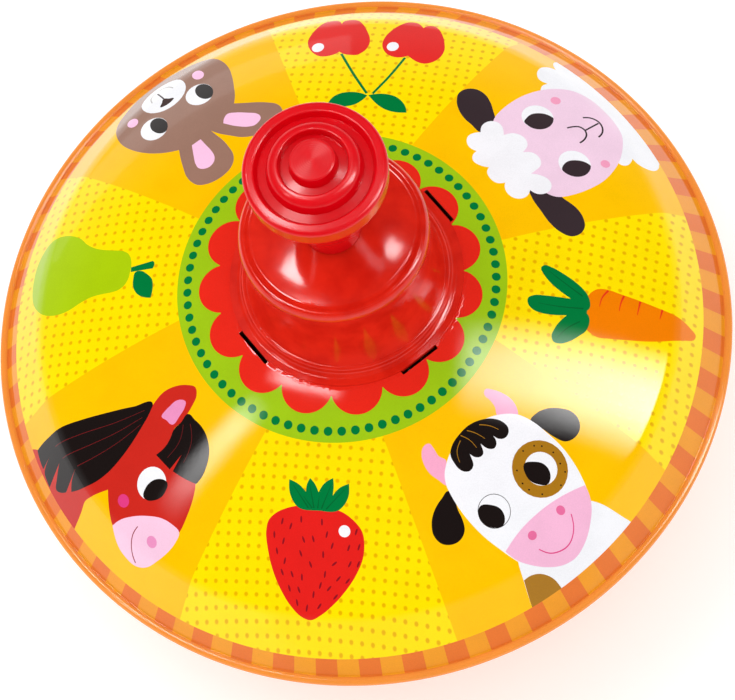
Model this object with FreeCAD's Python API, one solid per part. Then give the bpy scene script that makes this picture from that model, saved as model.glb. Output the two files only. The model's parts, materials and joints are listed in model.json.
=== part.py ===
"""Push-handle spinning top: printed tinplate shell, drawn turret, clutch and twisted pump rod.

Millimetres. The spin axis is +Z and the origin is the tip of the foot. The turret's four tabs
lie TAB_START_DEG on from +X and +Y. Heights above the rim are given from RIM_Z.
"""
import FreeCAD, Part
import math
import os

Vector = FreeCAD.Vector
Z_AXIS = Vector(0, 0, 1)
ORIGIN = Vector(0, 0, 0)

# ---- driving dimensions -------------------------------------------------------------------
RIM_R = 95.0            # outside of the rolled rim
RIM_Z = 58.0            # rim plane above the tip of the foot
SHEET = 0.4             # tinplate thickness
BEAD_R = 1.2            # outside radius of the rolled rim
CROWN_H = 36.6          # flat land of the upper shell above the rim plane
CROWN_FLAT_R = 30.5     # radius of that land, which the turret stands on
DOME_R = 150.0          # spherical part of the upper shell
CONE_DEG = 48.4         # slope of the conical part between the dome and the rim
CREASE_R = 12.0         # bend between dome and cone
BOWL_DEPTH = 43.5       # underside of the lower shell below the rim plane
BOWL_FLAT_R = 16.0      # flat land of the lower shell round the foot

TURRET_FLANGE_R = 29.3
TURRET_SHOULDER_R = 23.3
TURRET_H = 30.9         # turret top above the crown
TAB_COUNT = 4
TAB_START_DEG = 40.5    # first tab, from +X; the printed animals face the same way
TAB_WIDTH = 10.0
TAB_R = 28.9            # outer face of a tab

ROD_WIDTH = 6.0         # twisted strip
ROD_THICK = 1.4
ROD_LEAD = 44.0         # height of one full turn of the strip
ROD_TRAVEL = 70.0       # how far the knob pulls up before the stop meets the buffer

KNOB_R = 17.2
KNOB_TOP_Z = 164.5

TUBE_R = 4.5
TUBE_BORE_R = 3.9
TOOTH_COUNT = 12
RUN = 0.08              # radial running clearance of the bush in the turret

# ---- derived heights ----------------------------------------------------------------------
BEAD_CENTRE_R = RIM_R - BEAD_R
CROWN_Z = RIM_Z + CROWN_H
BOWL_Z = RIM_Z - BOWL_DEPTH
TURRET_TOP_Z = CROWN_Z + TURRET_H
NECK_Z = TURRET_TOP_Z + 0.3
CLUTCH_FLOOR_Z = CROWN_Z + 2.0
TOOTH_H = 1.2
DRIVER_Z = CLUTCH_FLOOR_Z + TOOTH_H + 0.4
COVER_TOP_Z = CROWN_Z + 11.0
TUBE_TOP_Z = CROWN_Z - 2.0
BUFFER_H = 3.0
FOOT_SOCKET_Z = 6.5
STOP_THICK = 1.8
ROD_END_Z = TUBE_TOP_Z - BUFFER_H - STOP_THICK - ROD_TRAVEL


# ---- drawing helpers ----------------------------------------------------------------------
def rz(r, z):
    """A point of a section: radius r, height z, in the XZ plane."""
    return Vector(r, 0, z)


def line(a, b):
    return Part.LineSegment(a, b).toShape()


def arc(a, middle, b):
    return Part.Arc(a, middle, b).toShape()


def arc_about(centre, radius, start_deg, end_deg):
    """Arc in the XZ plane; angles are measured from +X towards +Z."""
    def at(deg):
        turn = math.radians(deg)
        return centre + Vector(radius * math.cos(turn), 0, radius * math.sin(turn))

    return arc(at(start_deg), at((start_deg + end_deg) / 2), at(end_deg))


def polyline(points):
    return [line(a, b) for a, b in zip(points, points[1:])]


def turn_section(edges):
    """Solid of revolution about Z from the edges of one closed section."""
    face = Part.Face(Part.Wire(Part.__sortEdges__(edges)))
    solid = face.revolve(ORIGIN, Z_AXIS, 360)
    return solid if solid.Volume > 0 else solid.reversed()


def turn_points(points):
    return turn_section(polyline(points + points[:1]))


def ring(outer_r, inner_r, low_z, high_z):
    body = Part.makeCylinder(outer_r, high_z - low_z, rz(0, low_z))
    if inner_r > 0:
        body = body.cut(Part.makeCylinder(inner_r, high_z - low_z, rz(0, low_z)))
    return body


def around(shape, count, start_deg=0.0):
    """Copies of a shape, evenly spaced round the axis."""
    copies = []
    for index in range(count):
        copy = shape.copy()
        copy.rotate(ORIGIN, Z_AXIS, start_deg + 360.0 * index / count)
        copies.append(copy)
    return copies


def sheet_section(edges, thickness):
    """Closed section of a sheet that lies on one side of an open run of edges."""
    wire = Part.Wire(edges)
    return wire.makeOffset2D(thickness, join=2, fill=True, openResult=True)


def turn_face(face):
    return face.revolve(ORIGIN, Z_AXIS, 360)


def twisted_strip(width, thickness, low_z, high_z):
    """Flat strip twisted right-handed about Z; its width lies along X at height 0."""
    height = high_z - low_z
    phase = 360.0 * low_z / ROD_LEAD
    spine = Part.Wire(line(rz(0, low_z), rz(0, high_z)))
    guide = Part.makeHelix(ROD_LEAD, height, width)
    guide.translate(rz(0, low_z))
    guide.rotate(ORIGIN, Z_AXIS, phase)
    half_w = width / 2
    half_t = thickness / 2
    corners = [
        Vector(-half_w, -half_t, low_z),
        Vector(half_w, -half_t, low_z),
        Vector(half_w, half_t, low_z),
        Vector(-half_w, half_t, low_z),
    ]
    outline = Part.Wire(polyline(corners + corners[:1]))
    outline.rotate(ORIGIN, Z_AXIS, phase)
    sweep = Part.BRepOffsetAPI.MakePipeShell(spine)
    sweep.setAuxiliarySpine(Part.Wire(guide.Edges), True, 0)
    sweep.add(outline, False, False)
    sweep.build()
    sweep.makeSolid()
    solid = Part.Solid(sweep.shape())
    return solid if solid.Volume > 0 else solid.reversed()


# ---- shell --------------------------------------------------------------------------------
HEM_R = 91.9            # inner edge of the hem under the rim
CROWN_HOLE_R = 8.0


def tab_slots():
    slot = Part.makeBox(1.5, TAB_WIDTH + 0.8, 4 * SHEET)
    slot.translate(Vector(TAB_R - 0.5, -(TAB_WIDTH + 0.8) / 2, CROWN_Z - 2.5 * SHEET))
    return around(slot, TAB_COUNT, TAB_START_DEG)


def make_upper_shell():
    """Flat land, spherical dome, rounded crease and a cone that runs into the rolled rim."""
    dome_centre = rz(0, CROWN_Z - math.sqrt(DOME_R**2 - CROWN_FLAT_R**2))
    bead_centre = rz(BEAD_CENTRE_R, RIM_Z)
    land_deg = math.degrees(math.acos(CROWN_FLAT_R / DOME_R))
    slope = math.radians(CONE_DEG)
    normal = rz(math.sin(slope), math.cos(slope))
    down = rz(math.cos(slope), -math.sin(slope))
    crease_line = bead_centre + normal * (BEAD_R - CREASE_R)
    offset = crease_line - dome_centre
    along = offset.dot(down)
    reach = math.sqrt(along**2 - offset.dot(offset) + (DOME_R - CREASE_R)**2)
    crease_centre = crease_line - down * (reach + along)
    to_crease = crease_centre - dome_centre
    crease_deg = math.degrees(math.atan2(to_crease.z, to_crease.x))
    edges = [
        line(rz(CROWN_HOLE_R, CROWN_Z), rz(CROWN_FLAT_R, CROWN_Z)),
        arc_about(dome_centre, DOME_R, land_deg, crease_deg),
        arc_about(crease_centre, CREASE_R, crease_deg, 90.0 - CONE_DEG),
        line(crease_centre + normal * CREASE_R, bead_centre + normal * BEAD_R),
        arc_about(bead_centre, BEAD_R, 90.0 - CONE_DEG, -90.0),
        line(rz(BEAD_CENTRE_R, RIM_Z - BEAD_R), rz(HEM_R, RIM_Z - BEAD_R)),
    ]
    shell = turn_face(sheet_section(edges, -SHEET))
    return shell.cut(Part.makeCompound(tab_slots() + clutch_rivet_holes()))


FLANGE_END_R = BEAD_CENTRE_R - 0.2
BOWL_HOLE_R = TUBE_R + 0.1


def make_lower_shell():
    flange_z = RIM_Z - BEAD_R + SHEET
    wall_top = rz(90.8, flange_z - 0.6)
    reach = wall_top.x - BOWL_FLAT_R
    rise = wall_top.z - BOWL_Z
    radius = (reach**2 + rise**2) / (2 * rise)
    centre = rz(BOWL_FLAT_R, BOWL_Z + radius)
    wall_deg = math.degrees(math.atan2(wall_top.z - centre.z, reach))
    edges = [
        line(rz(FLANGE_END_R, flange_z), rz(91.3, flange_z)),
        line(rz(91.3, flange_z), wall_top),
        arc_about(centre, radius, wall_deg, -90.0),
        line(rz(BOWL_FLAT_R, BOWL_Z), rz(BOWL_HOLE_R, BOWL_Z)),
    ]
    shell = turn_face(sheet_section(edges, -SHEET))
    return shell.cut(Part.makeCompound(foot_rivet_holes()))


# ---- turret -------------------------------------------------------------------------------
TURRET_HOLE_R = 4.2


def turret_edges():
    """Outer line of the drawn turret, from the rim of its flange to the hole in its top."""
    base = CROWN_Z + SHEET
    bead_z = base + 28.9
    return [
        line(rz(TURRET_FLANGE_R, base), rz(27.6, base)),
        arc(rz(27.6, base), rz(26.7, base + 0.35), rz(26.2, base + 1.2)),
        line(rz(26.2, base + 1.2), rz(26.1, base + 1.6)),
        arc(rz(26.1, base + 1.6), rz(25.75, base + 2.15), rz(25.1, base + 2.4)),
        arc(rz(25.1, base + 2.4), rz(23.6, base + 7.0), rz(22.6, base + 25.0)),
        arc(rz(22.6, base + 25.0), rz(TURRET_SHOULDER_R, base + 27.3), rz(22.6, bead_z)),
        arc(rz(22.6, bead_z), rz(22.0, bead_z + 0.33), rz(21.2, bead_z + 0.2)),
        arc(rz(21.2, bead_z + 0.2), rz(20.4, bead_z - 0.03), rz(19.6, bead_z + 0.1)),
        arc(rz(19.6, bead_z + 0.1), rz(12.0, base + 30.15), rz(TURRET_HOLE_R, base + 30.5)),
    ]


def make_turret():
    shell = turn_face(sheet_section(turret_edges(), SHEET))
    leg = Part.makeBox(SHEET, TAB_WIDTH, 3 * SHEET)
    leg.translate(Vector(TAB_R - SHEET, -TAB_WIDTH / 2, CROWN_Z - 2 * SHEET))
    toe = Part.makeBox(3.4, TAB_WIDTH, SHEET)
    toe.translate(Vector(TAB_R - 3.4, -TAB_WIDTH / 2, CROWN_Z - 2 * SHEET))
    trim = Part.makeBox(2.0, TAB_WIDTH + 0.8, 2.0)
    trim.translate(Vector(TAB_R, -(TAB_WIDTH + 0.8) / 2, CROWN_Z - 0.5))
    shell = shell.cut(Part.makeCompound(around(trim, TAB_COUNT, TAB_START_DEG)))
    for tab in around(leg.fuse(toe), TAB_COUNT, TAB_START_DEG):
        shell = shell.fuse(tab)
    return shell.removeSplitter()


# ---- clutch -------------------------------------------------------------------------------
CLUTCH_CUP_R = 14.0
CLUTCH_WELL_R = 11.0
CLUTCH_FLANGE_R = 18.0
CLUTCH_RIVET_PCR = 16.0
CLUTCH_RIVET_R = 0.9
ROD_CLEAR_R = 3.3


def saw_teeth(base_z, height, inner_r, outer_r):
    """Ring of ratchet teeth standing on base_z; a negative height makes them hang."""
    width = 2.6
    corners = [
        Vector(inner_r, 0, base_z),
        Vector(inner_r, width, base_z),
        Vector(inner_r, 0, base_z + height),
    ]
    side = Part.Face(Part.Wire(polyline(corners + corners[:1])))
    tooth = side.extrude(Vector(outer_r - inner_r, 0, 0))
    return around(tooth, TOOTH_COUNT)


def clutch_rivet_holes():
    hole = Part.makeCylinder(CLUTCH_RIVET_R, 6.0, Vector(CLUTCH_RIVET_PCR, 0, CROWN_Z - 2.0))
    return around(hole, 3)


def make_clutch_body():
    section = [
        rz(ROD_CLEAR_R, CLUTCH_FLOOR_Z),
        rz(CLUTCH_WELL_R, CLUTCH_FLOOR_Z),
        rz(CLUTCH_WELL_R, COVER_TOP_Z - 1.2),
        rz(CLUTCH_CUP_R, COVER_TOP_Z - 1.2),
        rz(CLUTCH_CUP_R, CROWN_Z + 2.0),
        rz(CLUTCH_FLANGE_R, CROWN_Z + 2.0),
        rz(CLUTCH_FLANGE_R, CROWN_Z),
        rz(CROWN_HOLE_R - 0.1, CROWN_Z),
        rz(CROWN_HOLE_R - 0.1, CROWN_Z - 11.0),
        rz(TUBE_R, CROWN_Z - 11.0),
        rz(TUBE_R, TUBE_TOP_Z),
        rz(ROD_CLEAR_R, TUBE_TOP_Z),
    ]
    body = turn_points(section)
    body = body.cut(Part.makeCompound(clutch_rivet_holes()))
    for tooth in saw_teeth(CLUTCH_FLOOR_Z, TOOTH_H, 5.6, 10.2):
        body = body.fuse(tooth)
    return body.removeSplitter()


def make_clutch_rivets():
    low_z = CROWN_Z - SHEET
    high_z = CROWN_Z + 2.0
    shank = Part.makeCylinder(CLUTCH_RIVET_R, high_z - low_z, rz(0, low_z))
    head = Part.makeCylinder(1.6, 0.7, rz(0, high_z))
    tail = Part.makeCylinder(1.5, 0.7, rz(0, low_z - 0.7))
    rivet = shank.fuse(head).fuse(tail).removeSplitter()
    rivet.translate(Vector(CLUTCH_RIVET_PCR, 0, 0))
    return Part.makeCompound(around(rivet, 3))


def make_clutch_cover():
    section = [
        rz(4.5, COVER_TOP_Z),
        rz(15.2, COVER_TOP_Z),
        rz(15.2, COVER_TOP_Z - 6.0),
        rz(CLUTCH_CUP_R, COVER_TOP_Z - 6.0),
        rz(CLUTCH_CUP_R, COVER_TOP_Z - 1.2),
        rz(9.0, COVER_TOP_Z - 1.2),
        rz(9.0, COVER_TOP_Z - 2.4),
        rz(4.5, COVER_TOP_Z - 2.4),
    ]
    return turn_points(section)


def make_driver_washer():
    top = COVER_TOP_Z - 2.4
    return ring(8.8, 4.5, top - 0.4, top)


DRIVER_R = 10.2
DRIVER_TOP_Z = COVER_TOP_Z - 3.1
PLATE_R = 6.4
PLATE_THICK = 1.0


def rod_passage():
    """The rod's own shape with clearance, so a slot cut with it follows the twist."""
    return twisted_strip(ROD_WIDTH + 0.3, ROD_THICK + 0.3, DRIVER_Z - 2.0, DRIVER_TOP_Z + 2.0)


def make_driver():
    body_z = DRIVER_Z + TOOTH_H
    section = [
        rz(ROD_CLEAR_R + 0.2, body_z),
        rz(DRIVER_R, body_z),
        rz(DRIVER_R, DRIVER_TOP_Z - 0.5),
        rz(DRIVER_R - 0.5, DRIVER_TOP_Z),
        rz(PLATE_R, DRIVER_TOP_Z),
        rz(PLATE_R, DRIVER_TOP_Z - PLATE_THICK),
        rz(ROD_CLEAR_R + 0.2, DRIVER_TOP_Z - PLATE_THICK),
    ]
    body = turn_points(section)
    for tooth in saw_teeth(body_z, -TOOTH_H, 5.8, 10.0):
        body = body.fuse(tooth)
    return body.removeSplitter()


def make_driver_plate():
    plate = ring(PLATE_R, 0.0, DRIVER_TOP_Z - PLATE_THICK, DRIVER_TOP_Z)
    return plate.cut(rod_passage())


# ---- guide bush, tube and foot ------------------------------------------------------------
BUSH_BORE_R = 3.2


def make_guide_bush():
    flange_top = TURRET_TOP_Z - 1.5
    section = [
        rz(BUSH_BORE_R, COVER_TOP_Z + 0.3),
        rz(5.4, COVER_TOP_Z + 0.3),
        rz(5.4, flange_top - 1.6),
        rz(8.6, flange_top - 1.6),
        rz(8.6, flange_top - 0.5),
        rz(8.0, flange_top),
        rz(TURRET_HOLE_R - RUN, flange_top),
        rz(TURRET_HOLE_R - RUN, NECK_Z),
        rz(BUSH_BORE_R, NECK_Z),
    ]
    return turn_points(section)


def make_centre_tube():
    return ring(TUBE_R, TUBE_BORE_R, FOOT_SOCKET_Z, TUBE_TOP_Z)


def make_end_buffer():
    """Rubber ring in the top of the tube that the rod's stop meets when the knob is fully up."""
    return ring(TUBE_BORE_R, ROD_CLEAR_R, TUBE_TOP_Z - BUFFER_H, TUBE_TOP_Z)


FOOT_PLATE_Z = BOWL_Z + SHEET
FOOT_PLATE_THICK = 1.0
FOOT_FLANGE_R = 14.0
FOOT_FLANGE_H = 2.5
FOOT_PIN_R = 8.0
FOOT_PIN_LOW_Z = 4.0
FOOT_RIVET_PCR = 11.0
FOOT_RIVET_R = 1.2
TIP_SHANK_R = 2.0
TIP_HEAD_R = 3.6


def foot_rivet_holes():
    hole = Part.makeCylinder(FOOT_RIVET_R, 12.0, Vector(FOOT_RIVET_PCR, 0, BOWL_Z - 6.0))
    return around(hole, 3, 30.0)


def make_tube_collar():
    low_z = FOOT_PLATE_Z + FOOT_PLATE_THICK
    section = [
        rz(TUBE_R, low_z),
        rz(8.0, low_z),
        rz(8.0, low_z + 1.5),
        rz(6.2, low_z + 2.5),
        rz(6.2, low_z + 7.0),
        rz(TUBE_R, low_z + 7.0),
    ]
    return turn_points(section)


def make_foot_plate():
    plate = ring(FOOT_FLANGE_R, BOWL_HOLE_R, FOOT_PLATE_Z, FOOT_PLATE_Z + FOOT_PLATE_THICK)
    return plate.cut(Part.makeCompound(foot_rivet_holes()))


def make_foot():
    flange_z = BOWL_Z - FOOT_FLANGE_H
    edges = polyline(
        [
            rz(TUBE_R, BOWL_Z),
            rz(FOOT_FLANGE_R, BOWL_Z),
            rz(FOOT_FLANGE_R, flange_z + 1.0),
            rz(FOOT_FLANGE_R - 1.0, flange_z),
            rz(FOOT_PIN_R, flange_z),
            rz(FOOT_PIN_R, FOOT_PIN_LOW_Z),
        ]
    )
    edges.append(arc(rz(FOOT_PIN_R, FOOT_PIN_LOW_Z), rz(7.2, 2.4), rz(5.2, 1.6)))
    edges += polyline(
        [
            rz(5.2, 1.6),
            rz(TIP_SHANK_R, 1.6),
            rz(TIP_SHANK_R, 5.6),
            rz(0, 5.6),
            rz(0, FOOT_SOCKET_Z),
            rz(TUBE_R, FOOT_SOCKET_Z),
            rz(TUBE_R, BOWL_Z),
        ]
    )
    return turn_section(edges).cut(Part.makeCompound(foot_rivet_holes()))


def make_foot_tip():
    head_z = 1.6
    radius = (TIP_HEAD_R**2 + head_z**2) / (2 * head_z)
    angle = math.degrees(math.asin(TIP_HEAD_R / radius))
    edges = [arc_about(rz(0, radius), radius, -90.0, -90.0 + angle)]
    edges += polyline(
        [
            rz(TIP_HEAD_R, head_z),
            rz(TIP_SHANK_R, head_z),
            rz(TIP_SHANK_R, 5.4),
            rz(0, 5.4),
            rz(0, 0),
        ]
    )
    return turn_section(edges)


def make_foot_rivets():
    low_z = BOWL_Z - FOOT_FLANGE_H
    high_z = FOOT_PLATE_Z + FOOT_PLATE_THICK
    shank = Part.makeCylinder(FOOT_RIVET_R, high_z - low_z, rz(0, low_z))
    tail = Part.makeCylinder(1.9, 0.8, rz(0, high_z))
    head = Part.makeCylinder(2.1, 0.7, rz(0, low_z - 0.7))
    rivet = shank.fuse(tail).fuse(head).removeSplitter()
    rivet.translate(Vector(FOOT_RIVET_PCR, 0, 0))
    return Part.makeCompound(around(rivet, 3, 30.0))


# ---- plunger ------------------------------------------------------------------------------
SHANK_R = 3.0
SHANK_TOP_Z = NECK_Z + 22.0
STOP_R = 3.6
STOP_TOP_Z = ROD_END_Z + STOP_THICK
STOP_PIN_R = 0.65


def make_spiral_rod():
    strip = twisted_strip(ROD_WIDTH - 0.2, ROD_THICK, STOP_TOP_Z, NECK_Z - 1.0)
    shank = Part.makeCylinder(SHANK_R, SHANK_TOP_Z - NECK_Z + 1.5, rz(0, NECK_Z - 1.5))
    pin_low_z = ROD_END_Z - 0.6
    pin = Part.makeCylinder(STOP_PIN_R, STOP_TOP_Z + 0.5 - pin_low_z, rz(0, pin_low_z))
    return strip.fuse(shank).fuse(pin).removeSplitter()


def make_rod_stop():
    return ring(STOP_R, STOP_PIN_R, ROD_END_Z, STOP_TOP_Z)


def make_knob():
    """Mushroom knob: waisted neck, thin rim, and a stepped top with two rings and a boss."""
    low = NECK_Z
    top = KNOB_TOP_Z
    ring_wall_z = top - 5.6
    floor_z = top - 6.0
    edges = [
        line(rz(SHANK_R, low), rz(7.3, low)),
        arc(rz(7.3, low), rz(8.4, low + 6.0), rz(10.2, low + 12.2)),
        arc(rz(10.2, low + 12.2), rz(12.0, low + 18.0), rz(14.6, low + 24.2)),
        line(rz(14.6, low + 24.2), rz(16.1, low + 27.0)),
        arc(rz(16.1, low + 27.0), rz(16.7, low + 28.0), rz(17.0, low + 29.2)),
        line(rz(17.0, low + 29.2), rz(KNOB_R, ring_wall_z)),
        arc(rz(KNOB_R, ring_wall_z), rz(16.85, top - 4.85), rz(15.9, top - 4.5)),
        line(rz(15.9, top - 4.5), rz(14.9, top - 4.4)),
        arc(rz(14.9, top - 4.4), rz(14.45, top - 4.5), rz(14.2, top - 4.9)),
        line(rz(14.2, top - 4.9), rz(13.6, floor_z)),
        line(rz(13.6, floor_z), rz(11.6, top - 5.5)),
        line(rz(11.6, top - 5.5), rz(11.15, top - 3.4)),
        arc(rz(11.15, top - 3.4), rz(10.3, top - 2.1), rz(8.8, top - 1.6)),
        arc(rz(8.8, top - 1.6), rz(8.4, top - 1.7), rz(8.25, top - 2.1)),
        line(rz(8.25, top - 2.1), rz(7.9, top - 3.5)),
        line(rz(7.9, top - 3.5), rz(5.9, top - 3.2)),
        line(rz(5.9, top - 3.2), rz(5.4, top - 0.5)),
        arc(rz(5.4, top - 0.5), rz(5.25, top - 0.15), rz(4.9, top)),
        line(rz(4.9, top), rz(0, top)),
        line(rz(0, top), rz(0, SHANK_TOP_Z)),
        line(rz(0, SHANK_TOP_Z), rz(SHANK_R, SHANK_TOP_Z)),
        line(rz(SHANK_R, SHANK_TOP_Z), rz(SHANK_R, low)),
    ]
    return turn_section(edges)


# ---- all nodes ----------------------------------------------------------------------------
NODES = {
    "upper_shell": make_upper_shell,
    "lower_shell": make_lower_shell,
    "turret": make_turret,
    "centre_tube": make_centre_tube,
    "end_buffer": make_end_buffer,
    "tube_collar": make_tube_collar,
    "clutch_body": make_clutch_body,
    "clutch_rivets": make_clutch_rivets,
    "clutch_cover": make_clutch_cover,
    "driver_washer": make_driver_washer,
    "driver": make_driver,
    "driver_plate": make_driver_plate,
    "guide_bush": make_guide_bush,
    "foot": make_foot,
    "foot_plate": make_foot_plate,
    "foot_rivets": make_foot_rivets,
    "foot_tip": make_foot_tip,
    "spiral_rod": make_spiral_rod,
    "rod_stop": make_rod_stop,
    "knob": make_knob,
}

os.makedirs("parts", exist_ok=True)
for node, make in NODES.items():
    shape = make()
    shape.exportStep("parts/" + node + ".step")
    print(node, "valid", shape.isValid(), "solids", len(shape.Solids), "mm3", round(shape.Volume, 1))
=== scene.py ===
"""Looks of the push-handle spinning top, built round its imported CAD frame.

Blender works in metres. Sizes in this script are millimetres and are scaled by MM where they
reach Blender. Heights of the printed shell count from the rim plane, as in the CAD source.
"""

import json
import math

import bpy
from mathutils import Matrix, Quaternion, Vector
from mathutils.geometry import delaunay_2d_cdt


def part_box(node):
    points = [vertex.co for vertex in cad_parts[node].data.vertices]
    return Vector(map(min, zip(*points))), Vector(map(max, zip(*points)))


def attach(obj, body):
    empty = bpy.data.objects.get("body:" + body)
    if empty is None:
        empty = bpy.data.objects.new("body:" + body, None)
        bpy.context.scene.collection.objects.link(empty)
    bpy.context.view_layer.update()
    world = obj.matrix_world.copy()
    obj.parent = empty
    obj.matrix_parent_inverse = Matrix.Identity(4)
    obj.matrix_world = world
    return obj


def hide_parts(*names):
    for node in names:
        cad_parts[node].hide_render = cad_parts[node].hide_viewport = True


MM = 0.001
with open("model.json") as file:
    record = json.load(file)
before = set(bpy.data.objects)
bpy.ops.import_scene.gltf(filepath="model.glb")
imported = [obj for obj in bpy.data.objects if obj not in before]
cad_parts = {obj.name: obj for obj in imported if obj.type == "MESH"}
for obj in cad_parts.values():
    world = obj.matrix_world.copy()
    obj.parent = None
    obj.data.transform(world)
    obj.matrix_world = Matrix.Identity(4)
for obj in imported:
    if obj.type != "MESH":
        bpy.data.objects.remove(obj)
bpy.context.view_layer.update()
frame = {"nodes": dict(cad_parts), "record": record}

# ---- shell profile ----
BEAD_R = 1.2
SHEET = 0.4
RIM_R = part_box("upper_shell")[1].x / MM
RIM_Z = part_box("upper_shell")[0].z / MM + BEAD_R
CROWN_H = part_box("upper_shell")[1].z / MM - RIM_Z
CROWN_FLAT_R = 30.5
CROWN_HOLE_R = 8.0
LAND_BLEND = 0.5  # the normals turn over this, from land to dome
HEM_R = 91.9
DOME_R = 150.0
CREASE_R = 12.0
BEND_R = 73.633  # centre of the crease between dome and cone
BEND_Z = 6.448
VALLEY_R = 92.7  # foot of the cone, beside the rolled bead
VALLEY_Z = 0.95
BEAD_START = math.radians(130)  # where the bead rises out of that valley
BEAD_CENTRE_R = RIM_R - BEAD_R
DOME_CENTRE_Z = CROWN_H - math.sqrt(DOME_R**2 - CROWN_FLAT_R**2)


def cone_slope():
    """Slope of the line from the foot of the cone that touches the crease."""
    reach = math.hypot(VALLEY_R - BEND_R, VALLEY_Z - BEND_Z)
    below = math.atan2(BEND_Z - VALLEY_Z, VALLEY_R - BEND_R)
    return math.pi / 2 - (math.acos(CREASE_R / reach) - below)


CONE = cone_slope()
DOME_END_R = BEND_R * DOME_R / (DOME_R - CREASE_R)
CONE_START_R = BEND_R + CREASE_R * math.sin(CONE)
CONE_START_Z = BEND_Z + CREASE_R * math.cos(CONE)


def shell_height(r):
    """Outer surface of the upper shell above the rim plane, at radius r."""
    if r <= CROWN_FLAT_R:
        return CROWN_H
    if r <= DOME_END_R:
        return DOME_CENTRE_Z + math.sqrt(DOME_R**2 - r**2)
    if r <= CONE_START_R:
        return BEND_Z + math.sqrt(CREASE_R**2 - (r - BEND_R) ** 2)
    return CONE_START_Z - (r - CONE_START_R) * math.tan(CONE)


def shell_tilt(r):
    """Angle of the shell's outward normal from straight up, at radius r."""
    if r <= CROWN_FLAT_R - LAND_BLEND:
        return 0.0
    if r <= DOME_END_R:
        return math.asin(r / DOME_R)
    if r <= CONE_START_R:
        return math.asin((r - BEND_R) / CREASE_R)
    return CONE


# ---- outlines ----
STEP = 0.7  # spacing of points along a printed edge
FINE_STEP = 0.35  # the same for small shapes
LONG_EDGE = 1.6  # longest straight edge of a printed shape


def curve(points, closed=True, step=STEP):
    """Smooth line through points; a point with a third member is a corner."""
    count = len(points)
    at = [Vector(point[:2]) for point in points]

    def is_corner(index):
        return len(points[index]) > 2 or (not closed and index in (0, count - 1))

    def heading(index):
        back = at[index] - at[index - 1]
        ahead = at[(index + 1) % count] - at[index]
        return (back.normalized() * ahead.length + ahead.normalized() * back.length).normalized()

    line = []
    for start in range(count if closed else count - 1):
        end = (start + 1) % count
        chord = at[end] - at[start]
        leave = chord if is_corner(start) else heading(start) * chord.length
        arrive = chord if is_corner(end) else heading(end) * chord.length
        if is_corner(start) and not is_corner(end):
            leave = chord * 1.5 - arrive * 0.5
        if is_corner(end) and not is_corner(start):
            arrive = chord * 1.5 - leave * 0.5
        pieces = max(1, math.ceil(chord.length / step))
        for piece in range(pieces):
            u = piece / pieces
            line.append(at[start] * (2 * u**3 - 3 * u**2 + 1) + leave * (u**3 - 2 * u**2 + u)
                        + at[end] * (3 * u**2 - 2 * u**3) + arrive * (u**3 - u**2))
    if not closed:
        line.append(at[-1])
    return line


def polar(centre, radius, deg):
    turn = math.radians(deg)
    return Vector((centre[0] + radius * math.cos(turn), centre[1] + radius * math.sin(turn)))


def wedge(centre, deg, near, far):
    """Four-sided outline along a direction; near and far are (distance, half width)."""
    out = polar((0, 0), 1, deg)
    side = Vector((-out.y, out.x))
    return [Vector(centre) + out * s + side * half * sign for (s, half), sign in (
        (near, -1), (far, -1), (far, 1), (near, 1))]


def circle(centre, radius, sides):
    turn = math.tau / sides
    return [Vector((centre[0] + radius * math.cos(turn * index),
                    centre[1] + radius * math.sin(turn * index))) for index in range(sides)]


def oval(t, s, half_t, half_s, tilt_deg=0.0, sides=28):
    """Ellipse; a positive tilt leans its top, towards the centre, to the right."""
    tilt = math.radians(tilt_deg)
    line = []
    for index in range(sides):
        angle = math.tau * index / sides
        across = half_t * math.cos(angle)
        up = half_s * math.sin(angle)
        line.append(Vector((t + across * math.cos(tilt) + up * math.sin(tilt),
                            s + across * math.sin(tilt) - up * math.cos(tilt))))
    return line


def band(points, width, end_width=None):
    """Stroke along a smooth line, which tapers from width to end_width."""
    end_width = width if end_width is None else end_width
    line = curve(points, closed=False, step=FINE_STEP)
    left = []
    right = []
    for index, at in enumerate(line):
        ahead = line[min(index + 1, len(line) - 1)] - line[max(index - 1, 0)]
        side = Vector((-ahead.y, ahead.x)).normalized()
        share = index / (len(line) - 1)
        half = (width * (1 - share) + end_width * share) / 2
        left.append(at + side * half)
        right.append(at - side * half)
    return left + right[::-1]


def divided(line):
    """The same outline with its long straight edges cut, so that they can follow the dome."""
    result = []
    for start, end in zip(line, line[1:] + line[:1]):
        pieces = max(1, math.ceil((end - start).length / LONG_EDGE))
        result += [start.lerp(end, piece / pieces) for piece in range(pieces)]
    return result


class Print:
    """Printed shapes in the plan of the shell; a later shape covers an earlier one."""

    CENTRE = Vector((-1.78, -0.58))  # the pictures sit a little off the spin axis

    def __init__(self):
        self.shapes = []
        self.outward = Vector((0, 1))

    def face_to(self, deg):
        """Next shapes are (t, s): s outward along this direction, t to its right."""
        self.outward = polar((0, 0), 1, deg)

    def plan(self, line, ink, inside=None):
        """A shape in plan coordinates, stored anticlockwise; inside is a shape that trims it."""
        line = divided(line)
        area = sum(a.cross(b) for a, b in zip(line, line[1:] + line[:1]))
        self.shapes.append((ink, line if area > 0 else line[::-1], inside))
        return len(self.shapes) - 1

    def local(self, line, ink, inside=None):
        right = Vector((-self.outward.y, self.outward.x))
        placed = [self.CENTRE + self.outward * p[1] + right * p[0] for p in line]
        return self.plan(placed, ink, inside)

    def draw(self, ink, *outlines, inside=None):
        return [self.local(curve(points), ink, inside) for points in outlines][-1]

    def spot(self, ink, *measures, inside=None):
        return self.local(oval(*measures), ink, inside)

    def stroke(self, ink, points, width, end_width=None, inside=None):
        return self.local(band(points, width, end_width), ink, inside)


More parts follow.
